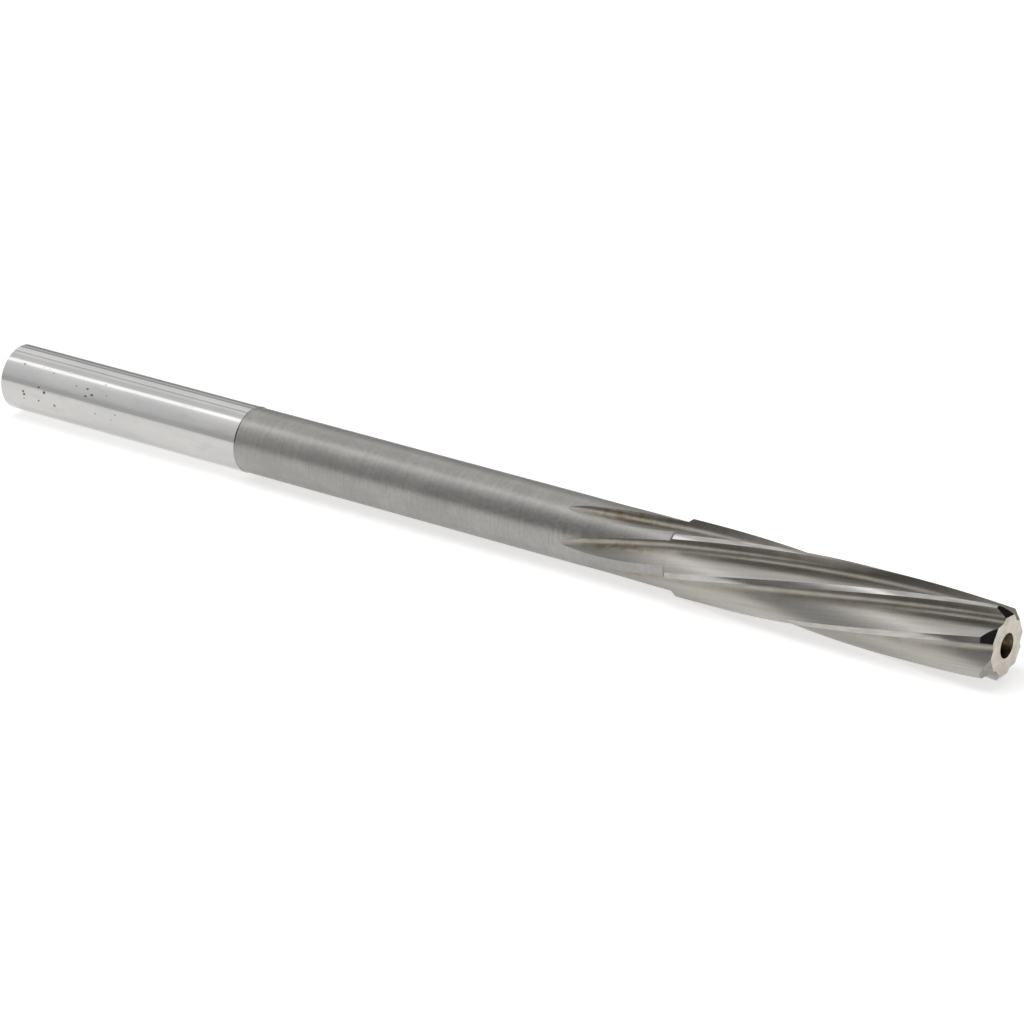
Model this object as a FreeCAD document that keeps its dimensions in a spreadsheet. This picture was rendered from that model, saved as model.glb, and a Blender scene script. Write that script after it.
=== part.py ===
"""Machine reamer: one ground bar of high-speed steel, lying along X with its cutting end at +X.

The bar is turned as one blank (shank, neck and cutting length), a centre is drilled in each end,
six left-hand flutes are ground into it, and a flat 45 degree lead is ground on the end of every
tooth. Lengths are in millimetres and angles in degrees.
"""
import FreeCAD, Part
import math
import os
import Sketcher
from FreeCAD import Placement, Rotation, Vector

doc = FreeCAD.newDocument("machine_reamer")

# ---------------------------------------------------------------- driving sizes
SIZES = {
    # alias: (value, what it is)
    "overall_length": (103.0, "end face to end face"),
    "shank_diameter": (6.0, "ground cylindrical shank"),
    "shank_length": (27.3, "from the shank end to the neck"),
    "shank_chamfer": (0.2, "45 degree chamfer round the shank end"),
    "neck_diameter": (5.9, "bar between the shank and the teeth"),
    "neck_bevel": (0.1, "axial length of the bevel from the shank down to the neck"),
    "cutting_diameter": (6.6, "over the teeth, the size of hole that is reamed"),
    "cutting_length": (30.2, "teeth at full diameter, up to the end face"),
    "shoulder_bevel": (0.4, "axial length of the bevel from the neck up to the teeth"),
    "tooth_count": (6, "teeth, and so flutes"),
    "flute_lead": (115.0, "axial length of one turn of the left-hand helix"),
    "edge_angle": (37.0, "angle about the axis of one cutting edge at the end face"),
    "flute_floor": (2.2, "from the axis to the flat floor of a flute"),
    "floor_width": (0.7, "from the wall under a cutting edge to the far side of that floor"),
    "root_radius": (0.55, "fillet between the wall and the floor"),
    "land_width": (0.5, "cylindrical land behind each cutting edge"),
    "tooth_back_radius": (4.5, "rounded back of a tooth, from the flute's floor up to the land"),
    "full_depth_length": (31.0, "flute at full depth, up to the end face"),
    "wheel_radius": (70.0, "grinding wheel, whose exit makes the flute run out"),
    "run_out_turn": (12.0, "extra turn of the flute by the end of its run-out"),
    "lead_length": (0.75, "axial length of the 45 degree lead at the cutting edge"),
    "lead_clearance": (15.0, "turn of each flat lead facet behind its cutting edge"),
    "centre_mouth": (2.12, "mouth diameter of the 60 degree centre in each end"),
    "centre_pilot": (1.0, "pilot hole diameter of that centre"),
    "centre_depth": (2.0, "depth of the pilot hole from the end face"),
    "cutter_clearance": (0.5, "how far a cutting tool's outline passes the steel"),
}

sheet = doc.addObject("Spreadsheet::Sheet", "Sizes")
for row, (alias, (value, meaning)) in enumerate(SIZES.items(), start=1):
    sheet.set(f"A{row}", meaning)
    sheet.set(f"B{row}", str(value))
    sheet.setAlias(f"B{row}", alias)
doc.recompute()

body = doc.addObject("PartDesign::Body", "Body")
body.Label = "reamer"


def origin_item(role):
    """The plane or axis of the body's own origin that has this role."""
    return next(item for item in body.Origin.OriginFeatures if item.Role == role)


def evaluate(expression):
    """The number that an expression on the sheet has now, for a sketch's first geometry."""
    number = body.evalExpression(expression)
    return float(getattr(number, "Value", number))


def new_sketch(name, role):
    """A sketch of the body, flat on one of its origin planes."""
    sketch = body.newObject("Sketcher::SketchObject", name)
    sketch.AttachmentSupport = (origin_item(role), "")
    sketch.MapMode = "FlatFace"
    return sketch


def bind(sketch, constraint, name, expression):
    """Adds a dimension to the sketch and ties it to the sheet."""
    index = sketch.addConstraint(constraint)
    sketch.renameConstraint(index, name)
    sketch.setExpression(f"Constraints.{name}", expression)


def bind_point(sketch, geometry, position, name, across, up):
    """Holds a point of the sketch at two expressions, measured from the sketch's origin."""
    for kind, letter, expression, axis in (("DistanceX", "x", across, -2), ("DistanceY", "y", up, -1)):
        if expression == "0":
            sketch.addConstraint(Sketcher.Constraint("PointOnObject", geometry, position, axis))
            continue
        size = evaluate(expression)
        bind(sketch, Sketcher.Constraint(kind, -1, 1, geometry, position, size), name + letter, expression)


def polygon(sketch, corners):
    """A closed outline of straight lines through corners, each a pair of expressions."""
    places = [Vector(evaluate(across), evaluate(up), 0) for across, up in corners]
    for place, following in zip(places, places[1:] + places[:1]):
        sketch.addGeometry(Part.LineSegment(place, following), False)
    for line in range(len(corners)):
        sketch.addConstraint(Sketcher.Constraint("Coincident", line, 2, (line + 1) % len(corners), 1))
        bind_point(sketch, line, 1, f"corner{line}", *corners[line])


# ---------------------------------------------------------------- turned blank
SHANK = "Sizes.shank_diameter / 2"
NECK = "Sizes.neck_diameter / 2"
TEETH = "Sizes.cutting_diameter / 2"
END = "Sizes.overall_length"
SHOULDER = "Sizes.overall_length - Sizes.cutting_length"

blank_outline = new_sketch("BlankOutline", "XZ_Plane")
polygon(blank_outline, [
    ("0", "0"),
    ("0", f"{SHANK} - Sizes.shank_chamfer"),
    ("Sizes.shank_chamfer", SHANK),
    ("Sizes.shank_length", SHANK),
    ("Sizes.shank_length + Sizes.neck_bevel", NECK),
    (f"{SHOULDER} - Sizes.shoulder_bevel", NECK),
    (SHOULDER, TEETH),
    (END, TEETH),
    (END, "0"),
])
doc.recompute()
blank = body.newObject("PartDesign::Revolution", "Blank")
blank.Profile = blank_outline
blank.ReferenceAxis = (origin_item("X_Axis"), [""])
blank.Angle = 360
doc.recompute()


# ---------------------------------------------------------------- drilled centres
def drill_centre(name, end, inward):
    """A 60 degree centre with its pilot hole, drilled inward (+1 or -1) from x = end."""
    mouth = "Sizes.centre_mouth / 2"
    pilot = "Sizes.centre_pilot / 2"
    cone = f"({mouth} - {pilot}) * sqrt(3)"
    outline = new_sketch(f"{name}Outline", "XZ_Plane")
    polygon(outline, [
        (f"{end} - {inward} * Sizes.cutter_clearance", "0"),
        (f"{end} - {inward} * Sizes.cutter_clearance", mouth),
        (end, mouth),
        (f"{end} + {inward} * {cone}", pilot),
        (f"{end} + {inward} * Sizes.centre_depth", pilot),
        (f"{end} + {inward} * (Sizes.centre_depth + {pilot} / sqrt(3))", "0"),
    ])
    doc.recompute()
    centre = body.newObject("PartDesign::Groove", name)
    centre.Profile = outline
    centre.ReferenceAxis = (origin_item("X_Axis"), [""])
    centre.Angle = 360
    doc.recompute()


drill_centre("ShankCentre", "0", 1)
drill_centre("FrontCentre", END, -1)


# ---------------------------------------------------------------- left-hand flutes
LAST_RISE = f"({NECK} - Sizes.flute_floor + Sizes.cutter_clearance)"
RUN_OUT = f"sqrt(Sizes.wheel_radius^2 - (Sizes.wheel_radius - {LAST_RISE})^2)"


def flute_section(index, behind_end):
    """The outline ground out of the blank, square to the axis, at a distance behind the end face.

    Seen from the cutting end, the sketch's x runs out along the wall under the cutting edge and its
    y runs across the floor. The outline goes down the wall, round the root, along the floor and up
    the back of the next tooth. Past the full-depth length it lifts with the rim of the grinding
    wheel, and turns a little more than the helix alone would turn it.
    """
    past_full_depth = f"max(0; {behind_end} - Sizes.full_depth_length)"
    lift = f"(Sizes.wheel_radius - sqrt(Sizes.wheel_radius^2 - {past_full_depth}^2))"
    floor = f"Sizes.flute_floor + {lift}"
    outside = f"{TEETH} + 2 * Sizes.cutter_clearance"
    heel = f"(360 / Sizes.tooth_count - Sizes.land_width / ({TEETH}) * 180 / pi)"
    heel_x = f"({TEETH}) * cos({heel} * 1 deg) + {lift}"
    heel_y = f"({TEETH}) * sin({heel} * 1 deg)"

    sketch = new_sketch(f"FluteSection{index}", "YZ_Plane")
    sketch.AttachmentOffset = Placement(Vector(0, 0, 0), Rotation(Vector(0, 0, 1), 1))
    sketch.setExpression("AttachmentOffset.Base.z", f"{END} - ({behind_end})")
    turn = f"360 * ({behind_end}) / Sizes.flute_lead + Sizes.run_out_turn * {past_full_depth} / {RUN_OUT}"
    sketch.setExpression("AttachmentOffset.Rotation.Angle", f"Sizes.edge_angle + {turn}")

    root, back = evaluate("Sizes.root_radius"), evaluate("Sizes.tooth_back_radius")
    outer, top = evaluate(outside), evaluate(f"{heel_y} + Sizes.cutter_clearance")
    wall_foot = Vector(evaluate(floor) + root, 0, 0)
    floor_near = Vector(evaluate(floor), root, 0)
    floor_far = Vector(evaluate(floor), evaluate("Sizes.floor_width"), 0)
    heel_at = Vector(evaluate(heel_x), evaluate(heel_y), 0)

    # the back's arc goes through the floor's far side and the heel of the land, and on past the steel
    chord = heel_at - floor_far
    toward_tooth = Vector(-chord.y, chord.x, 0).normalize()
    centre = floor_far + chord / 2 + toward_tooth * math.sqrt(back**2 - (chord.Length / 2) ** 2)
    start = math.atan2(floor_far.y - centre.y, floor_far.x - centre.x)
    finish = math.asin((top - centre.y) / back)
    tip = centre + Vector(back * math.cos(finish), back * math.sin(finish), 0)

    wall, fillet, flat, curve, over, side, heel_point = range(7)
    corner = Part.Circle(Vector(wall_foot.x, root, 0), Vector(0, 0, 1), root)
    rounded = Part.Circle(centre, Vector(0, 0, 1), back)
    for geometry in (
        Part.LineSegment(Vector(outer, 0, 0), wall_foot),
        Part.ArcOfCircle(corner, math.pi, 1.5 * math.pi),
        Part.LineSegment(floor_near, floor_far),
        Part.ArcOfCircle(rounded, start, finish),
        Part.LineSegment(tip, Vector(outer, top, 0)),
        Part.LineSegment(Vector(outer, top, 0), Vector(outer, 0, 0)),
    ):
        sketch.addGeometry(geometry, False)
    sketch.addGeometry(Part.Point(heel_at), True)
    for kind, *ends in (
        ("Tangent", wall, 2, fillet, 2),
        ("Tangent", fillet, 1, flat, 1),
        ("Coincident", flat, 2, curve, 1),
        ("Coincident", curve, 2, over, 1),
        ("Coincident", over, 2, side, 1),
        ("Coincident", side, 2, wall, 1),
        ("Horizontal", wall),
        ("Vertical", flat),
        ("Horizontal", over),
        ("Vertical", side),
        ("PointOnObject", heel_point, 1, curve),
    ):
        sketch.addConstraint(Sketcher.Constraint(kind, *ends))
    bind_point(sketch, wall, 1, "outside", outside, "0")
    bind_point(sketch, flat, 2, "floor", floor, "Sizes.floor_width")
    bind_point(sketch, heel_point, 1, "heel", heel_x, heel_y)
    bind(sketch, Sketcher.Constraint("Radius", fillet, root), "root", "Sizes.root_radius")
    bind(sketch, Sketcher.Constraint("Radius", curve, back), "back", "Sizes.tooth_back_radius")
    over_top = Sketcher.Constraint("DistanceY", -1, 1, side, 1, top)
    bind(sketch, over_top, "top", f"{heel_y} + Sizes.cutter_clearance")
    return sketch


FULL_DEPTH_SECTIONS = 8
RUN_OUT_SECTIONS = 6
front = "(-2 * Sizes.cutter_clearance)"
stations = [
    f"{front} + (Sizes.full_depth_length - {front}) * {number / FULL_DEPTH_SECTIONS}"
    for number in range(FULL_DEPTH_SECTIONS)
] + [
    f"Sizes.full_depth_length + {RUN_OUT} * {number / (RUN_OUT_SECTIONS - 1)}"
    for number in range(RUN_OUT_SECTIONS)
]
sections = [flute_section(index, station) for index, station in enumerate(stations)]
doc.recompute()

flute = body.newObject("PartDesign::SubtractiveLoft", "Flute")
flute.Profile = sections[0]
flute.Sections = sections[1:]
flute.Ruled = False
flute.Refine = False
doc.recompute()

flutes = body.newObject("PartDesign::PolarPattern", "Flutes")
flutes.Originals = [flute]
flutes.Axis = (origin_item("X_Axis"), [""])
flutes.Angle = 360
flutes.Refine = False
flutes.setExpression("Occurrences", "Sizes.tooth_count")
body.Tip = flutes
doc.recompute()


# ---------------------------------------------------------------- lead on each tooth's end
# The facet is a plane at 45 degrees to the axis. It is sketched side on, in the plane through the
# axis that is turned behind the cutting edge by the lead's clearance.
edge_turn = "360 * Sizes.lead_length / Sizes.flute_lead"
facet_turn = f"Sizes.edge_angle + {edge_turn} - Sizes.lead_clearance"
facet_top = f"({TEETH}) * cos(Sizes.lead_clearance * 1 deg) + Sizes.cutter_clearance"
facet_leg = "(Sizes.lead_length + 2 * Sizes.cutter_clearance)"

lead_outline = new_sketch("LeadOutline", "XZ_Plane")
lead_outline.AttachmentOffset = Placement(Vector(0, 0, 0), Rotation(Vector(1, 0, 0), 1))
lead_outline.setExpression("AttachmentOffset.Rotation.Angle", f"{facet_turn} - 90")
polygon(lead_outline, [
    (f"{END} + Sizes.cutter_clearance - {facet_leg}", facet_top),
    (f"{END} + Sizes.cutter_clearance", facet_top),
    (f"{END} + Sizes.cutter_clearance", f"{facet_top} - {facet_leg}"),
])
doc.recompute()

lead = body.newObject("PartDesign::Pocket", "Lead")
lead.Profile = lead_outline
lead.Type = "Length"
lead.SideType = "Symmetric"
lead.setExpression("Length", "Sizes.cutting_diameter / 2")
lead.Refine = False
doc.recompute()

leads = body.newObject("PartDesign::PolarPattern", "Leads")
leads.Originals = [lead]
leads.Axis = (origin_item("X_Axis"), [""])
leads.Angle = 360
leads.Refine = False
leads.setExpression("Occurrences", "Sizes.tooth_count")
body.Tip = leads

# ---------------------------------------------------------------- place and write
# The reamer lies on its lowest tooth, with the middle of its length over the origin.
body.setExpression("Placement.Base.x", "-Sizes.overall_length / 2")
body.setExpression("Placement.Base.z", "Sizes.cutting_diameter / 2")
doc.recompute()

for item in doc.Objects:
    if {"Invalid", "Error"} & set(item.State):
        raise RuntimeError(f"{item.Label} failed: {item.State}")
removed = [blank.Shape.Volume - flutes.Shape.Volume, flutes.Shape.Volume - leads.Shape.Volume]
if min(removed) <= 0:
    raise RuntimeError(f"a flute or a lead cut nothing: {removed}")
shape = body.Shape
if shape.isNull() or not shape.isValid() or len(shape.Solids) != 1:
    raise RuntimeError("the reamer isn't one valid solid")

os.makedirs("parts", exist_ok=True)
shape.exportStep(f"parts/{body.Label}.step")
print(f"{body.Label}: {shape.Volume:.1f} mm3, flutes took {removed[0]:.1f}, leads took {removed[1]:.2f}")
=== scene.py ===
import math

import bmesh
import bpy
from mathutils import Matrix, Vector


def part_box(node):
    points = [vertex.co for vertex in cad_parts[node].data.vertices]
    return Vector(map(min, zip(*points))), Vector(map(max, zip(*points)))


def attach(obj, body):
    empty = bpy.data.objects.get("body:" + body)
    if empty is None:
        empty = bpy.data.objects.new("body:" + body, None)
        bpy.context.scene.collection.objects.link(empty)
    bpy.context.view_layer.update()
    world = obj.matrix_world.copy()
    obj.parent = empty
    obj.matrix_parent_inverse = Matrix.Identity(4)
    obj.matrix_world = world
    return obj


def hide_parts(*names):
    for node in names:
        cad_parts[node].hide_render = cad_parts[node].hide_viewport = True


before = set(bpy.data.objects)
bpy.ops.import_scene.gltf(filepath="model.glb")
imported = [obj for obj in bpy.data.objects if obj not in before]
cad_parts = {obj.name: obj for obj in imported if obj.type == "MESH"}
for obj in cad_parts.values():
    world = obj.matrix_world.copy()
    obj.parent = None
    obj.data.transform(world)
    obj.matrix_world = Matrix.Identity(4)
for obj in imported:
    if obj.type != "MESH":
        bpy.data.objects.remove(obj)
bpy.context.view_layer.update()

# ---------------------------------------------------------------- standpoint
# The reamer lies along X with its cutting end at +X. It is looked at from a little in front of
# that end and from above, through a long lens, so that it hardly narrows towards the shank.
MM = 0.001
low, high = [Vector(corner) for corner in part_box("reamer")]
END = high.x
AXIS = (low.z + high.z) / 2
LENGTH = (high.x - low.x) / MM

AZIMUTH, ELEVATION = math.radians(35.25), math.radians(22.84)
DISTANCE = 361.68 * MM
AIM_AHEAD, AIM_BELOW = 3.66 * MM, 0.17 * MM
sight = Vector((
    -math.sin(AZIMUTH) * math.cos(ELEVATION),
    math.cos(AZIMUTH) * math.cos(ELEVATION),
    -math.sin(ELEVATION),
))
aim = Vector(((low.x + high.x) / 2 + AIM_AHEAD, 0, AXIS - AIM_BELOW))

camera = bpy.data.objects.new("camera", bpy.data.cameras.new("camera"))
bpy.context.scene.collection.objects.link(camera)
camera.data.lens = 149.7
camera.data.sensor_width = 36
camera.data.clip_start = 0.01
camera.location = aim - sight * DISTANCE
camera.rotation_euler = sight.to_track_quat("-Z", "Y").to_euler()
bpy.context.scene.camera = camera

# ---------------------------------------------------------------- reamer
# One bar of high-speed steel: a lapped shank, a ground neck, and six left-hand flutes ground into
# the cutting length, each running out into the neck. All of it is one skin, made ring by ring
# along the bar from the cutting end. Sizes are in millimetres and angles in degrees.
SHANK_RADIUS = 3.0
SHANK_LENGTH = 27.3
SHANK_CHAMFER = 0.2
NECK_RADIUS = 2.95
NECK_BEVEL = 0.1
NECK_END = LENGTH - SHANK_LENGTH
TOOTH_RADIUS = 3.3
CUTTING_LENGTH = 30.2
SHOULDER_BEVEL = 0.4

TEETH = 6
PITCH = 360 / TEETH
HELIX_LEAD = 115.0
EDGE_ANGLE = 37.0
FLOOR = 2.2
FLOOR_WIDTH = 0.7
ROOT = 0.55
LAND = 0.5
BACK = 4.5
FULL_DEPTH = 31.0
WHEEL = 70.0
WHEEL_CLEARANCE = 0.5
LAST_RISE = NECK_RADIUS - FLOOR + WHEEL_CLEARANCE
RUN_OUT = math.sqrt(WHEEL**2 - (WHEEL - LAST_RISE) ** 2)
RUN_OUT_TURN = 12.0


def flute_profile():
    """The ground outline at full depth: down the wall, round the root, over the floor, up the back."""
    outside, wall_step = 5.0, 0.05
    down = int((outside - FLOOR - ROOT) / wall_step) + 1
    outline = [(outside - wall_step * step, 0.0) for step in range(down)]
    root_steps = 40
    for step in range(root_steps + 1):
        turn = math.radians(270 - 90 * step / root_steps)
        outline.append((FLOOR + ROOT + ROOT * math.cos(turn), ROOT + ROOT * math.sin(turn)))
    # the back's arc goes through the floor's far side and the heel of the land, and on past the steel
    heel = math.radians(PITCH) - LAND / TOOTH_RADIUS
    foot = Vector((FLOOR, FLOOR_WIDTH))
    chord = Vector((math.cos(heel), math.sin(heel))) * TOOTH_RADIUS - foot
    square = Vector((-chord.y, chord.x)).normalized()
    middle = foot + chord / 2 + square * math.sqrt(BACK**2 - (chord.length / 2) ** 2)
    start = math.atan2(foot.y - middle.y, foot.x - middle.x)
    back_steps, back_turn = 120, 0.9
    for step in range(back_steps + 1):
        turn = start + back_turn * step / back_steps
        outline.append((middle.x + BACK * math.cos(turn), middle.y + BACK * math.sin(turn)))
    return outline


PROFILE = flute_profile()


def lifted_profile(behind):
    """The outline as the rim of the grinding wheel has lifted it, at a distance behind the end face."""
    lift = WHEEL - math.sqrt(WHEEL**2 - max(0.0, behind - FULL_DEPTH) ** 2)
    return [(across + lift, up) for across, up in PROFILE]


# the flute's point is where the lifted outline leaves the neck, found in ever smaller steps
RUN_OUT_TIP = FULL_DEPTH
for step in [2**power / 1000 for power in range(13, -1, -1)]:
    while min(math.hypot(*point) for point in lifted_profile(RUN_OUT_TIP + step)) < NECK_RADIUS:
        RUN_OUT_TIP += step


def blank_radius(behind):
    """The turned bar's radius at a distance behind the end face."""
    corners = [
        (0, TOOTH_RADIUS),
        (CUTTING_LENGTH, TOOTH_RADIUS),
        (CUTTING_LENGTH + SHOULDER_BEVEL, NECK_RADIUS),
        (NECK_END - NECK_BEVEL, NECK_RADIUS),
        (NECK_END, SHANK_RADIUS),
        (LENGTH - SHANK_CHAMFER, SHANK_RADIUS),
        (LENGTH, SHANK_RADIUS - SHANK_CHAMFER),
    ]
    for (near, first), (far, second) in zip(corners, corners[1:]):
        if behind <= far:
            return first + (second - first) * (behind - near) / (far - near)
    return corners[-1][1]


FLUTE_STEPS = 28
LAND_STEPS = 12
ROUND = TEETH * (FLUTE_STEPS + LAND_STEPS)


def flute_points(outline, radius, inside):
    """The flute from its cutting edge to the heel of the land, in even steps: (radius, angle)."""
    path = []
    for outer, inner in ((inside[0] - 1, inside[0]), (inside[-1] + 1, inside[-1])):
        over, under = math.hypot(*outline[outer]) - radius, math.hypot(*outline[inner]) - radius
        path.append(Vector(outline[outer]).lerp(Vector(outline[inner]), over / (over - under)))
    path[1:1] = [Vector(outline[index]) for index in inside]

    # points stand closer where the outline turns, so the root stays round
    bend_weight, tiny = 0.5, 1e-9
    reach = [0.0]
    for index in range(1, len(path)):
        step = path[index] - path[index - 1]
        before = path[index - 1] - path[max(0, index - 2)]
        bend = step.angle(before, 0.0) if min(step.length, before.length) > tiny else 0.0
        reach.append(reach[-1] + step.length + bend_weight * bend)
    flute, at = [], 0
    for count in range(FLUTE_STEPS + 1):
        wanted = reach[-1] * count / FLUTE_STEPS
        while at < len(reach) - 2 and reach[at + 1] < wanted:
            at += 1
        part = (wanted - reach[at]) / max(tiny, reach[at + 1] - reach[at])
        point = path[at].lerp(path[at + 1], min(1.0, part))
        flute.append((point.length, math.degrees(math.atan2(point.y, point.x))))
    return flute


def sector(behind):
    """One flute and one land, from a cutting edge to the next: (radius, angle after the edge)."""
    radius = blank_radius(behind)
    outline = lifted_profile(min(behind, RUN_OUT_TIP))
    depth = [math.hypot(*point) - radius for point in outline]
    inside = [index for index, over in enumerate(depth) if over < 0]
    if behind < RUN_OUT_TIP and inside:
        flute = flute_points(outline, radius, inside)
    else:
        across, up = outline[depth.index(min(depth))]
        flute = [(radius, math.degrees(math.atan2(up, across)))] * (FLUTE_STEPS + 1)
    first, last = flute[-1][1], PITCH + flute[0][1]
    land = [(radius, first + (last - first) * step / LAND_STEPS) for step in range(1, LAND_STEPS)]
    return flute + land


def cut_turn(behind):
    """The turn of the first cutting edge about the axis at a distance behind the end face."""
    reached = min(max(behind, 0.0), RUN_OUT_TIP)
    past_full_depth = max(0, reached - FULL_DEPTH)
    return EDGE_ANGLE + 360 * reached / HELIX_LEAD + RUN_OUT_TURN * past_full_depth / RUN_OUT


def ring(behind):
    """The whole outline round the bar: (x, radius, angle) at a distance behind the end face."""
    return [
        (END / MM - behind, radius, cut_turn(behind) + tooth * PITCH + angle)
        for tooth in range(TEETH)
        for radius, angle in sector(behind)
    ]


# rings stand about 0.4 mm apart along the teeth and closer towards the point of the run-out
CUTTING_RINGS, RUN_OUT_RINGS, PLAIN_RINGS, CROWDING = 72, 34, 12, 1.8
run_out_reach = RUN_OUT_TIP - FULL_DEPTH
neck_reach = NECK_END - NECK_BEVEL - RUN_OUT_TIP
shank_reach = SHANK_LENGTH - SHANK_CHAMFER
stations = [CUTTING_LENGTH * step / CUTTING_RINGS for step in range(CUTTING_RINGS + 1)]
stations += [CUTTING_LENGTH + SHOULDER_BEVEL, FULL_DEPTH]
for step in range(1, RUN_OUT_RINGS + 1):
    stations.append(RUN_OUT_TIP - run_out_reach * (1 - step / RUN_OUT_RINGS) ** CROWDING)
stations += [RUN_OUT_TIP + neck_reach * step / PLAIN_RINGS for step in range(1, PLAIN_RINGS + 1)]
stations += [NECK_END + shank_reach * step / PLAIN_RINGS for step in range(PLAIN_RINGS + 1)]
stations += [LENGTH]
rings = [ring(behind) for behind in stations]

CENTRE_MOUTH = 1.06
CENTRE_PILOT = 0.5
CENTRE_DEPTH = 2.0


def centre_rings(outline, inward):
    """The 60 degree centre and its pilot hole, drilled in from an end face (inward is -1 or +1)."""
    steps = [
        (0, CENTRE_MOUTH),
        ((CENTRE_MOUTH - CENTRE_PILOT) * math.sqrt(3), CENTRE_PILOT),
        (CENTRE_DEPTH, CENTRE_PILOT),
        (CENTRE_DEPTH + CENTRE_PILOT / math.sqrt(3), 0.0),
    ]
    return [[(x + inward * way, radius, angle) for x, _, angle in outline] for way, radius in steps]


front, rear = centre_rings(rings[0], -1), centre_rings(rings[-1], 1)
all_rings = front[::-1] + rings + rear
FRONT_FACE, REAR_FACE = len(front) - 1, len(front) + len(rings) - 1
ZONES = ("shank", "neck", "flute", "land", "face", "centre", "lead")


def zone(first, step):
    """Which finish the skin has between one ring and the next, at a step round a sector."""
    if first in (FRONT_FACE, REAR_FACE):
        return "face"
    if first < FRONT_FACE or first > REAR_FACE:
        return "centre"
    close = 1e-6
    behind = stations[first - len(front)]
    if step < FLUTE_STEPS and behind < RUN_OUT_TIP - close:
        return "flute"
    if behind < CUTTING_LENGTH - close:
        return "land"
    return "neck" if behind < NECK_END - close else "shank"


# every corner of the skin keeps its place in the cut: mm behind the end face, mm from the wall
# of the flute, and the number of the tooth, so that grinding marks can follow the helix
skin = bmesh.new()
cut_at = skin.loops.layers.float_vector.new("cut_mm")
points = []
for outline in all_rings:
    row = []
    for x, radius, degrees in outline:
        turn = math.radians(degrees)
        place = (x * MM, radius * math.cos(turn) * MM, AXIS + radius * math.sin(turn) * MM)
        row.append(skin.verts.new(place))
    points.append(row)
for first in range(len(all_rings) - 1):
    for index in range(ROUND):
        corners = ((first, index), (first, index + 1), (first + 1, index + 1), (first + 1, index))
        face = skin.faces.new([points[row][place % ROUND] for row, place in corners])
        tooth, step = divmod(index, FLUTE_STEPS + LAND_STEPS)
        face.material_index = ZONES.index(zone(first, step))
        face.smooth = True
        for loop, (row, place) in zip(face.loops, corners):
            x, radius, degrees = all_rings[row][place % ROUND]
            whole_turn = 360 if place == ROUND else 0
            behind = END / MM - x
            within = math.radians(degrees + whole_turn - cut_turn(behind) - tooth * PITCH)
            loop[cut_at] = (behind, radius * math.sin(within), tooth)
MERGE = 2e-7
bmesh.ops.remove_doubles(skin, verts=skin.verts, dist=MERGE)
bmesh.ops.dissolve_degenerate(skin, edges=skin.edges, dist=MERGE)

# the flat 45 degree lead is ground on the end of every tooth
LEAD_LENGTH = 0.75
LEAD_CLEARANCE = 15.0
LEAD_REACH = TOOTH_RADIUS * math.cos(math.radians(LEAD_CLEARANCE))
for tooth in range(TEETH):
    turn = math.radians(EDGE_ANGLE + 360 * LEAD_LENGTH / HELIX_LEAD - LEAD_CLEARANCE + tooth * PITCH)
    outward = Vector((0, math.cos(turn), math.sin(turn)))
    corner = Vector((END - LEAD_LENGTH * MM, 0, AXIS)) + outward * LEAD_REACH * MM
    near = [face for face in skin.faces if face.calc_center_median().x > END - 4 * LEAD_LENGTH * MM]
    geometry = near + list({edge for face in near for edge in face.edges})
    geometry += list({vertex for face in near for vertex in face.verts})
    bmesh.ops.bisect_plane(
        skin, geom=geometry, dist=1e-8, plane_co=corner,
        plane_no=Vector((1, 0, 0)) + outward, clear_outer=True,
    )
    cut = [edge for edge in skin.edges if edge.is_boundary]
    for face in bmesh.ops.holes_fill(skin, edges=cut, sides=0)["faces"]:
        face.material_index = ZONES.index("lead")
        face.smooth = True
bmesh.ops.recalc_face_normals(skin, faces=skin.faces)
SHARP = math.radians(25)
for edge in skin.edges:
    sides = {face.material_index for face in edge.link_faces}
    edge.smooth = len(sides) == 1 and edge.calc_face_angle(0) < SHARP

mesh = bpy.data.meshes.new("reamer_steel")
skin.to_mesh(mesh)
skin.free()
reamer = bpy.data.objects.new("reamer_steel", mesh)
bpy.context.scene.collection.objects.link(reamer)
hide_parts("reamer")
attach(reamer, "root")


def linear(hex_colour):
    """An sRGB hex colour as linear RGBA."""
    parts = [int(hex_colour[place:place + 2], 16) / 255 for place in (1, 3, 5)]
    return [part / 12.92 if part <= 0.04045 else ((part + 0.055) / 1.055) ** 2.4 for part in parts] + [1]


def feed(tree, node, inputs):
    """Gives a node's inputs what they take: a value, a hex colour, or a node or its output."""
    in_use = [socket for socket in node.inputs if socket.enabled]
    for name, value in inputs.items():
        socket = in_use[name] if isinstance(name, int) else next(s for s in in_use if s.name == name)
        if isinstance(value, bpy.types.Node):
            value = next(output for output in value.outputs if output.enabled)
        if isinstance(value, bpy.types.NodeSocket):
            tree.links.new(value, socket)
        else:
            socket.default_value = linear(value) if isinstance(value, str) else value


def add_node(tree, kind, inputs=None, **settings):
    """Adds a node with its settings and links."""
    node = tree.nodes.new(kind)
    for name, value in settings.items():
        setattr(node, name, value)
    feed(tree, node, inputs or {})
    return node


def new_steel(name, colour, roughness):
    """A bare steel on the next zone of the skin, as it looks before marks change it."""
    material = bpy.data.materials.new(name)
    material.use_nodes = True
    shader = material.node_tree.nodes["Principled BSDF"]
    feed(material.node_tree, shader, {"Metallic": 1, "Base Color": colour, "Roughness": roughness})
    mesh.materials.append(material)
    return material.node_tree, shader


def on_bar(tree, along, around):
    """Places on the bar, counted in marks: so many to the millimetre along it and around it."""
    place = add_node(tree, "ShaderNodeTexCoord").outputs["Object"]
    scale = (along / MM, around / MM, around / MM)
    return add_node(tree, "ShaderNodeMapping", {"Vector": place, "Scale": scale})


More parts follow.
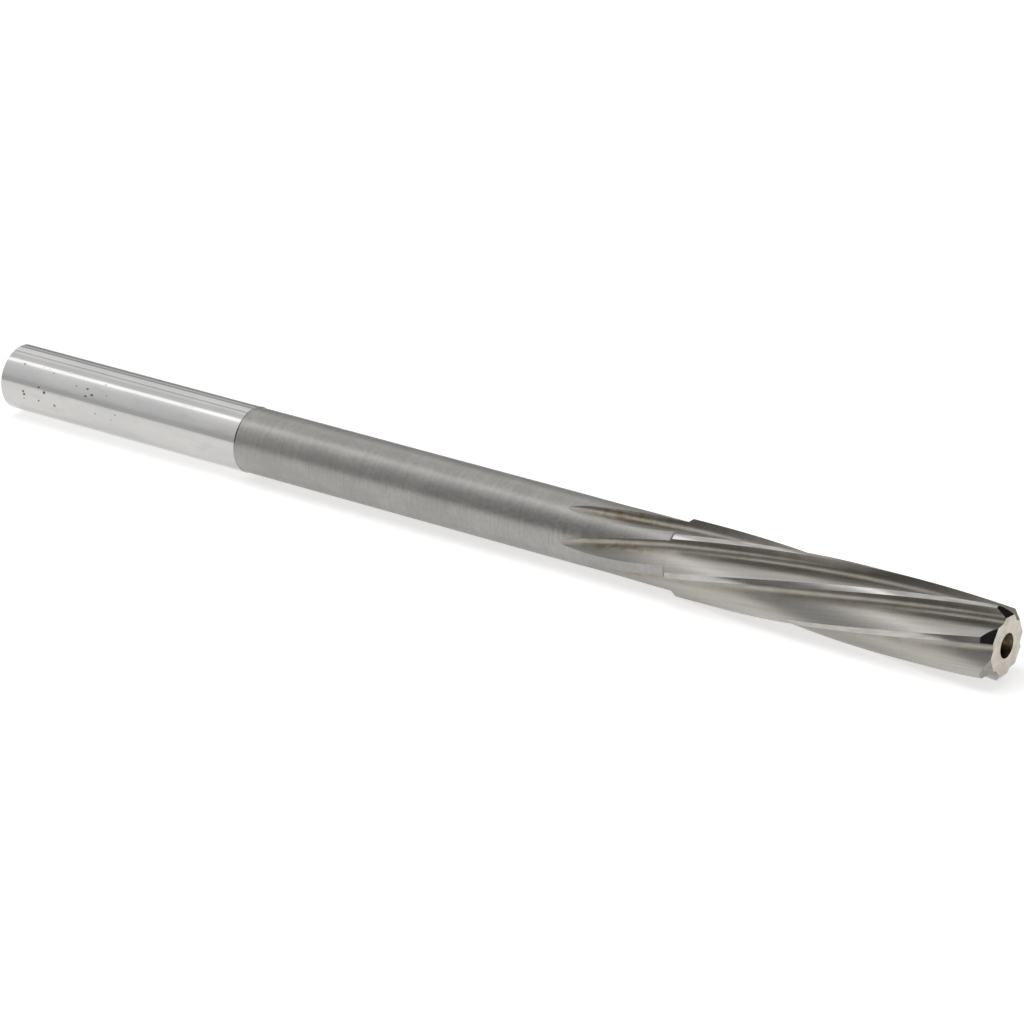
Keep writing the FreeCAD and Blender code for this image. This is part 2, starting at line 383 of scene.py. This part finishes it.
def marks(tree, place, detail, low, high, seed=0.0):
    """Marks in the steel, from 0 to 1: an uneven pattern, spread between two of its levels."""
    cloud = add_node(
        tree, "ShaderNodeTexNoise",
        {"Vector": place, "W": seed, "Scale": 1.0, "Detail": detail},
        noise_dimensions="4D",
    )
    return add_node(
        tree, "ShaderNodeMapRange",
        {"Value": cloud, "From Min": low, "From Max": high},
        interpolation_type="SMOOTHSTEP",
    )


def band(tree, value, near, far, soft):
    """1 where a place lies between two ends, falling to 0 over a soft edge."""
    rise = add_node(
        tree, "ShaderNodeMapRange",
        {"Value": value, "From Min": near - soft, "From Max": near + soft},
        interpolation_type="SMOOTHSTEP",
    )
    fall = add_node(
        tree, "ShaderNodeMapRange",
        {"Value": value, "From Min": far - soft, "From Max": far + soft, "To Min": 1.0, "To Max": 0.0},
        interpolation_type="SMOOTHSTEP",
    )
    return add_node(tree, "ShaderNodeMath", {0: rise, 1: fall}, operation="MULTIPLY")


# Lapped high-speed steel, on the shank. The lap leaves it close to a mirror, with rings round it
# that are drawn coarser than the real ones, 7 to the mm, and a thin smear of oil in places.
tree, shader = new_steel("hss_lapped", "#BDBCBA", 0.09)
haze = marks(tree, on_bar(tree, 0.12, 0.5), detail=3, low=0.35, high=0.7)
lap_rings = marks(tree, on_bar(tree, 7.0, 0.15), detail=2, low=0.3, high=0.7, seed=1.0)
smear = marks(tree, on_bar(tree, 0.35, 1.6), detail=4, low=0.52, high=0.72, seed=2.0)
thin_smear = add_node(tree, "ShaderNodeMath", {0: smear, 1: 0.3}, operation="MULTIPLY")
colour = add_node(
    tree, "ShaderNodeMix", {"Factor": haze, "A": "#C6C5C3", "B": "#BCBCBC"}, data_type="RGBA",
)
colour = add_node(
    tree, "ShaderNodeMix", {"Factor": thin_smear, "A": colour, "B": "#A9ACB0"}, data_type="RGBA",
)

# Rust pits, on the near upper side of the shank and close to its end, about 0.4 mm apart and in
# patches. Each is a dull, dark, shallow hole. Only the bigger cells of the pattern hold one.
place = add_node(tree, "ShaderNodeTexCoord").outputs["Object"]
axes = add_node(tree, "ShaderNodeSeparateXYZ", {"Vector": place}).outputs
pitted = marks(tree, on_bar(tree, 0.3, 0.45), detail=2, low=0.4, high=0.52, seed=3.0)
for share in (
    band(tree, axes["X"], low.x - 10 * MM, low.x + 13.5 * MM, soft=2.5 * MM),
    band(tree, axes["Y"], -10 * MM, -0.5 * MM, soft=0.3 * MM),
    band(tree, axes["Z"], AXIS - 1.2 * MM, AXIS + 2.3 * MM, soft=0.5 * MM),
):
    pitted = add_node(tree, "ShaderNodeMath", {0: pitted, 1: share}, operation="MULTIPLY")
grain = add_node(
    tree, "ShaderNodeTexNoise", {"Vector": on_bar(tree, 3.0, 3.0), "Scale": 1.0, "Detail": 2},
)
ragged = add_node(
    tree, "ShaderNodeMix",
    {"Factor": 0.25, "A": on_bar(tree, 2.2, 3.2), "B": grain.outputs["Color"]},
    data_type="VECTOR",
)
cells = add_node(tree, "ShaderNodeTexVoronoi", {"Vector": ragged, "Scale": 1.0}).outputs
chance = add_node(tree, "ShaderNodeSeparateXYZ", {"Vector": cells["Color"]})
size = add_node(
    tree, "ShaderNodeMapRange", {"Value": chance, "From Min": 0.25, "From Max": 1.0, "To Max": 0.3},
)
pit = add_node(tree, "ShaderNodeMath", {0: size, 1: cells["Distance"]}, operation="SUBTRACT")
pit = add_node(
    tree, "ShaderNodeMapRange", {"Value": pit, "From Min": -0.02, "From Max": 0.1},
    interpolation_type="SMOOTHSTEP",
)
pit = add_node(tree, "ShaderNodeMath", {0: pit, 1: pitted}, operation="MULTIPLY")
rust = add_node(tree, "ShaderNodeMath", {0: pit, 1: 0.85}, operation="MULTIPLY")
colour = add_node(tree, "ShaderNodeMix", {"Factor": rust, "A": colour, "B": "#4E4A46"}, data_type="RGBA")
rough = add_node(tree, "ShaderNodeMath", {0: smear, 1: 0.05, 2: 0.075}, operation="MULTIPLY_ADD")
rough = add_node(tree, "ShaderNodeMath", {0: pit, 1: 0.4, 2: rough}, operation="MULTIPLY_ADD")
height = add_node(tree, "ShaderNodeMath", {0: lap_rings, 1: 0.03}, operation="MULTIPLY")
height = add_node(tree, "ShaderNodeMath", {0: height, 1: pit}, operation="SUBTRACT")
relief = add_node(tree, "ShaderNodeBump", {"Height": height, "Distance": 0.02 * MM, "Strength": 1.0})
feed(tree, shader, {"Base Color": colour, "Roughness": rough, "Normal": relief})

# Ground high-speed steel, on the neck. The wheel leaves it satin, with marks round the bar, 5 to
# the mm, over a fine grain and darker clouds some millimetres long.
tree, shader = new_steel("hss_ground", "#A8A6A2", 0.33)
wheel_marks = marks(tree, on_bar(tree, 5.0, 0.35), detail=3, low=0.3, high=0.7)
grain = marks(tree, on_bar(tree, 3.2, 3.2), detail=3, low=0.35, high=0.65, seed=1.0)
clouds = marks(tree, on_bar(tree, 0.3, 0.5), detail=3, low=0.35, high=0.65, seed=2.0)
thin_grain = add_node(tree, "ShaderNodeMath", {0: grain, 1: 0.3}, operation="MULTIPLY")
thin_clouds = add_node(tree, "ShaderNodeMath", {0: clouds, 1: 0.4}, operation="MULTIPLY")
colour = add_node(
    tree, "ShaderNodeMix", {"Factor": wheel_marks, "A": "#959491", "B": "#A3A19E"}, data_type="RGBA",
)
colour = add_node(
    tree, "ShaderNodeMix", {"Factor": thin_grain, "A": colour, "B": "#B7B6B3"}, data_type="RGBA",
)
colour = add_node(
    tree, "ShaderNodeMix", {"Factor": thin_clouds, "A": colour, "B": "#8B8A88"}, data_type="RGBA",
)
rough = add_node(tree, "ShaderNodeMath", {0: grain, 1: 0.1, 2: 0.28}, operation="MULTIPLY_ADD")
height = add_node(tree, "ShaderNodeMath", {0: wheel_marks, 1: 0.7, 2: grain}, operation="MULTIPLY_ADD")
relief = add_node(tree, "ShaderNodeBump", {"Height": height, "Distance": 0.003 * MM, "Strength": 1.0})
feed(tree, shader, {"Base Color": colour, "Roughness": rough, "Normal": relief})


def in_cut(tree, along, across):
    """Places in a flute or on a land, counted in marks to the mm, and apart on every tooth."""
    cut = add_node(tree, "ShaderNodeAttribute", attribute_name="cut_mm", attribute_type="GEOMETRY")
    scale = (along, across, 7.0)
    return add_node(tree, "ShaderNodeMapping", {"Vector": cut.outputs["Vector"], "Scale": scale})


# Form-ground high-speed steel, in the flutes. The wheel leaves long streaks down the helix, 7 to
# the mm across it. The grey-brown is painted darker from the wall to the floor, as shade in the
# hollow of the flute, and painted lighter on the tooth's back, as its lit side.
tree, shader = new_steel("hss_fluted", "#8F8C87", 0.35)
cut = add_node(tree, "ShaderNodeAttribute", attribute_name="cut_mm", attribute_type="GEOMETRY")
cut = add_node(tree, "ShaderNodeSeparateXYZ", {"Vector": cut.outputs["Vector"]}).outputs
behind, from_wall = cut["X"], cut["Y"]
streaks = marks(tree, in_cut(tree, 0.12, 7.0), detail=3, low=0.3, high=0.7)
chatter = marks(tree, in_cut(tree, 4.5, 0.6), detail=2, low=0.3, high=0.7, seed=1.0)
clouds = marks(tree, in_cut(tree, 0.5, 1.2), detail=4, low=0.35, high=0.65, seed=2.0)
on_back = add_node(
    tree, "ShaderNodeMapRange", {"Value": from_wall, "From Min": 0.6, "From Max": 1.5},
    interpolation_type="SMOOTHSTEP",
)
# painted shade and light: a darker grey-brown by the wall, where the flute's hollow is shaded, and a lighter
# one on the lit back of the tooth
shaded_near_wall = add_node(tree, "ShaderNodeMix", {"Factor": clouds, "A": "#989389", "B": "#A5A19A"}, data_type="RGBA")
lit_on_back = add_node(
    tree, "ShaderNodeMix", {"Factor": streaks, "A": "#A5A29D", "B": "#B3B0AB"}, data_type="RGBA",
)
colour = add_node(tree, "ShaderNodeMix", {"Factor": on_back, "A": shaded_near_wall, "B": lit_on_back}, data_type="RGBA")
thin_chatter = add_node(tree, "ShaderNodeMath", {0: chatter, 1: 0.15}, operation="MULTIPLY")
colour = add_node(
    tree, "ShaderNodeMix", {"Factor": thin_chatter, "A": colour, "B": "#BDBAB5"}, data_type="RGBA",
)

# brown stain of old cutting oil, on the floor of the run-out
stain = marks(tree, in_cut(tree, 1.2, 2.0), detail=3, low=0.45, high=0.62, seed=3.0)
for share in (band(tree, behind, 32.5, 38.5, soft=1.5), band(tree, from_wall, -0.2, 1.0, soft=0.3), 0.6):
    stain = add_node(tree, "ShaderNodeMath", {0: stain, 1: share}, operation="MULTIPLY")
colour = add_node(tree, "ShaderNodeMix", {"Factor": stain, "A": colour, "B": "#8A7648"}, data_type="RGBA")
rough = add_node(tree, "ShaderNodeMapRange", {"Value": on_back, "To Min": 0.42, "To Max": 0.33})
height = add_node(tree, "ShaderNodeMath", {0: chatter, 1: 0.4, 2: streaks}, operation="MULTIPLY_ADD")
relief = add_node(tree, "ShaderNodeBump", {"Height": height, "Distance": 0.003 * MM, "Strength": 1.0})
feed(tree, shader, {"Base Color": colour, "Roughness": rough, "Normal": relief})

# Round-ground high-speed steel, on the lands. They are finished last, so they are brighter than
# the flutes and have only a light rub from the holes that they have sized.
tree, shader = new_steel("hss_land", "#B4B2AE", 0.2)
rub = marks(tree, in_cut(tree, 0.5, 3.0), detail=3, low=0.35, high=0.65, seed=4.0)
height = marks(tree, in_cut(tree, 5.0, 0.5), detail=2, low=0.3, high=0.7, seed=5.0)
colour = add_node(tree, "ShaderNodeMix", {"Factor": rub, "A": "#A9A7A3", "B": "#BBB9B6"}, data_type="RGBA")
relief = add_node(tree, "ShaderNodeBump", {"Height": height, "Distance": 0.002 * MM, "Strength": 1.0})
feed(tree, shader, {"Base Color": colour, "Normal": relief})

# Faced high-speed steel, on the two ends. It is turned flat and left matt, and oil has stained it
# a little in blots of about a millimetre.
tree, shader = new_steel("hss_faced", "#BDB8AF", 0.38)
blots = marks(tree, on_bar(tree, 1.2, 1.2), detail=4, low=0.35, high=0.65)
height = marks(tree, on_bar(tree, 5.0, 5.0), detail=2, low=0.3, high=0.7, seed=1.0)
colour = add_node(tree, "ShaderNodeMix", {"Factor": blots, "A": "#B9B2A6", "B": "#CBC6BD"}, data_type="RGBA")
relief = add_node(tree, "ShaderNodeBump", {"Height": height, "Distance": 0.006 * MM, "Strength": 1.0})
feed(tree, shader, {"Base Color": colour, "Normal": relief})

# Drilled high-speed steel, in the centres. Old cutting oil has dried brown and matt in them.
tree, shader = new_steel("hss_centre", "#6E5C4A", 0.45)
grime = marks(tree, on_bar(tree, 1.6, 1.6), detail=4, low=0.35, high=0.65)
colour = add_node(tree, "ShaderNodeMix", {"Factor": grime, "A": "#4A3A2A", "B": "#8A7C66"}, data_type="RGBA")
relief = add_node(tree, "ShaderNodeBump", {"Height": grime, "Distance": 0.01 * MM, "Strength": 1.0})
feed(tree, shader, {"Base Color": colour, "Normal": relief})

# Flat-ground high-speed steel, on the leads. A fine wheel leaves each facet flat and bright, so
# that it mirrors one patch of the room.
tree, shader = new_steel("hss_lead", "#8F8D8A", 0.16)
grain = marks(tree, on_bar(tree, 4.0, 4.0), detail=3, low=0.3, high=0.7)
colour = add_node(tree, "ShaderNodeMix", {"Factor": grain, "A": "#868481", "B": "#9A9895"}, data_type="RGBA")
feed(tree, shader, {"Base Color": colour})


# ---------------------------------------------------------------- floor
# A sheet of matt white paper on the table, under the reamer. It glows a little of itself where it
# is looked at, and less in the steel the further it lies from the bar, as a lit sheet does.
FLOOR_REACH = 3
corners = [(FLOOR_REACH * x, FLOOR_REACH * y, 0) for x, y in ((-1, -1), (1, -1), (1, 1), (-1, 1))]
floor_mesh = bpy.data.meshes.new("floor")
floor_mesh.from_pydata(corners, [], [(0, 1, 2, 3)])
floor = bpy.data.objects.new("floor", floor_mesh)
bpy.context.scene.collection.objects.link(floor)


def looked_at(tree):
    """The light path, and 1 for a ray from the eye, from a shine or through glass."""
    ray = add_node(tree, "ShaderNodeLightPath").outputs
    seen = ray["Is Camera Ray"]
    for way in ("Is Glossy Ray", "Is Transmission Ray"):
        seen = add_node(tree, "ShaderNodeMath", {0: seen, 1: ray[way]}, operation="MAXIMUM")
    return ray, seen


paper = bpy.data.materials.new("white_paper")
paper.use_nodes = True
tree = paper.node_tree
tree.nodes.clear()
ray, seen = looked_at(tree)
place = add_node(tree, "ShaderNodeTexCoord").outputs["Object"]
across = add_node(tree, "ShaderNodeSeparateXYZ", {"Vector": place}).outputs["Y"]
away = add_node(tree, "ShaderNodeMath", {0: across}, operation="ABSOLUTE")
pool = add_node(
    tree, "ShaderNodeMapRange",
    {"Value": away, "From Min": 0.02, "From Max": 0.14, "To Min": 0.58, "To Max": 0.1},
)
glow = add_node(tree, "ShaderNodeMix", {"Factor": ray["Is Glossy Ray"], "A": 0.6, "B": pool})
glow = add_node(tree, "ShaderNodeMath", {0: glow, 1: seen}, operation="MULTIPLY")
diffuse = add_node(tree, "ShaderNodeBsdfDiffuse", {"Color": (0.8, 0.79, 0.775, 1)})
emission = add_node(tree, "ShaderNodeEmission", {"Strength": glow})
both = add_node(tree, "ShaderNodeAddShader", {0: diffuse, 1: emission})
add_node(tree, "ShaderNodeOutputMaterial", {"Surface": both})
floor_mesh.materials.append(paper)

# ---------------------------------------------------------------- light tent
# A vault of white cloth over the reamer, lit unevenly from outside. Only the steel's shine sees it,
# and bare steel shows little else, so its bright and dim bands give the bar its round look.
VAULT_RADIUS = 0.2
VAULT_REACH = 0.9
VAULT_STEPS = 64
vault = bmesh.new()
arches = []
for x in (-VAULT_REACH, VAULT_REACH):
    turns = [math.pi * step / VAULT_STEPS for step in range(VAULT_STEPS + 1)]
    arches.append([
        vault.verts.new((x, VAULT_RADIUS * math.cos(turn), VAULT_RADIUS * math.sin(turn))) for turn in turns
    ])
for step in range(VAULT_STEPS):
    vault.faces.new((arches[0][step], arches[0][step + 1], arches[1][step + 1], arches[1][step]))
tent_mesh = bpy.data.meshes.new("light_tent")
vault.to_mesh(tent_mesh)
vault.free()
tent = bpy.data.objects.new("light_tent", tent_mesh)
bpy.context.scene.collection.objects.link(tent)
tent.visible_camera = False
tent.visible_diffuse = False
tent.visible_shadow = False
tent.visible_transmission = False

cloth = bpy.data.materials.new("tent_cloth")
cloth.use_nodes = True
tree = cloth.node_tree
tree.nodes.clear()
place = add_node(tree, "ShaderNodeTexCoord").outputs["Object"]
axes = add_node(tree, "ShaderNodeSeparateXYZ", {"Vector": place}).outputs
turn = add_node(tree, "ShaderNodeMath", {0: axes["Z"], 1: axes["Y"]}, operation="ARCTAN2")
share = add_node(tree, "ShaderNodeMath", {0: turn, 1: math.pi}, operation="DIVIDE")

# how bright the cloth is at each turn over the bar, from the far edge (0 degrees) to the near one
LEVELS = (
    (0, 0.3), (14, 0.35), (27, 0.8), (30, 0.4), (35, 0.45), (40, 1.0), (60, 1.1), (63, 0.65), (66, 0.7),
    (69, 1.1), (82, 0.85), (95, 0.95), (98, 1.75), (106, 1.85), (111, 1.15), (120, 1.0), (138, 0.9),
    (155, 0.82), (170, 0.62), (180, 0.65),
)
FULL_LEVEL = 2
ramp = add_node(tree, "ShaderNodeValToRGB", {0: share})
stops = ramp.color_ramp.elements
for degrees, level in LEVELS[1:-1]:
    stops.new(degrees / 180)
for (degrees, level), stop in zip(LEVELS, stops):
    stop.color = (level / FULL_LEVEL, level / FULL_LEVEL, level / FULL_LEVEL, 1)

# it fades towards the cutting end, and the near side is dim beside the shank
fade = add_node(
    tree, "ShaderNodeMapRange",
    {"Value": axes["X"], "From Min": -0.03, "From Max": 0.06, "To Min": FULL_LEVEL, "To Max": 0.12},
)
near_side = add_node(
    tree, "ShaderNodeMapRange", {"Value": share, "From Min": 118 / 180, "From Max": 140 / 180},
)
dim = add_node(
    tree, "ShaderNodeMapRange",
    {"Value": axes["X"], "From Min": -0.18, "From Max": -0.09, "To Min": 1.0, "To Max": 0.32},
)
dim = add_node(tree, "ShaderNodeMix", {"Factor": near_side, "A": 1.0, "B": dim})
fade = add_node(tree, "ShaderNodeMath", {0: fade, 1: dim}, operation="MULTIPLY")
power = add_node(tree, "ShaderNodeMath", {0: ramp, 1: fade}, operation="MULTIPLY")
emission = add_node(tree, "ShaderNodeEmission", {"Strength": power})
add_node(tree, "ShaderNodeOutputMaterial", {"Surface": emission})
tent_mesh.materials.append(cloth)

# ---------------------------------------------------------------- room
# A white room, full where it is looked at and soft as a light, and one softbox over the bar's near
# side. The softbox doesn't show in the steel.
room = bpy.data.worlds.new("studio")
bpy.context.scene.world = room
room.use_nodes = True
tree = room.node_tree
ray, seen = looked_at(tree)
level = add_node(tree, "ShaderNodeMapRange", {"Value": seen, "To Min": 0.35, "To Max": 1.0})
feed(tree, tree.nodes["Background"], {"Color": "#FFFFFF", "Strength": level})

lamp = bpy.data.objects.new("softbox", bpy.data.lights.new("softbox", "AREA"))
bpy.context.scene.collection.objects.link(lamp)
lamp.data.energy = 2.0
lamp.data.size = 0.5
lamp.location = (-0.15, -0.15, 0.7)
lamp.rotation_euler = (-lamp.location).to_track_quat("-Z", "Y").to_euler()
lamp.visible_glossy = False

bpy.context.scene.view_settings.view_transform = "Standard"
